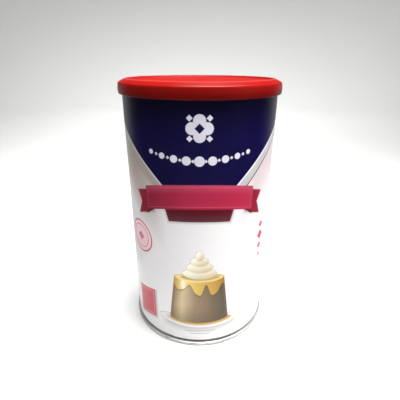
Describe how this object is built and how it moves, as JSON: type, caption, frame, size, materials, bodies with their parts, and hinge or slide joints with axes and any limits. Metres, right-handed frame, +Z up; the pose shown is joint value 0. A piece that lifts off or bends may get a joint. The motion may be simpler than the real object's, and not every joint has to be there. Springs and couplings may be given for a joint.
{
  "type": "condensed milk can",
  "caption": "Tall round printed tin of condensed milk with a folded steel bottom seam and a red push-on plastic lid, shut and full.",
  "frame": {"origin": "centre of the base, on the surface that the can stands on", "axes": "+Z up along the can's axis; the front of the print faces -Y and +X is to its right"},
  "size_m": [0.0882, 0.0882, 0.1495],
  "materials": {
    "printed_tin": "glossy varnished print on tinplate: navy upper field, white lower field, crimson band",
    "tinplate": "bright tinplate with fine rolling marks",
    "lid_plastic": "semi-gloss moulded red polyethylene"
  },
  "bodies": {
    "root": {"can_body": "printed_tin", "bottom_end": "tinplate", "lid": "lid_plastic"}
  },
  "joints": []
}
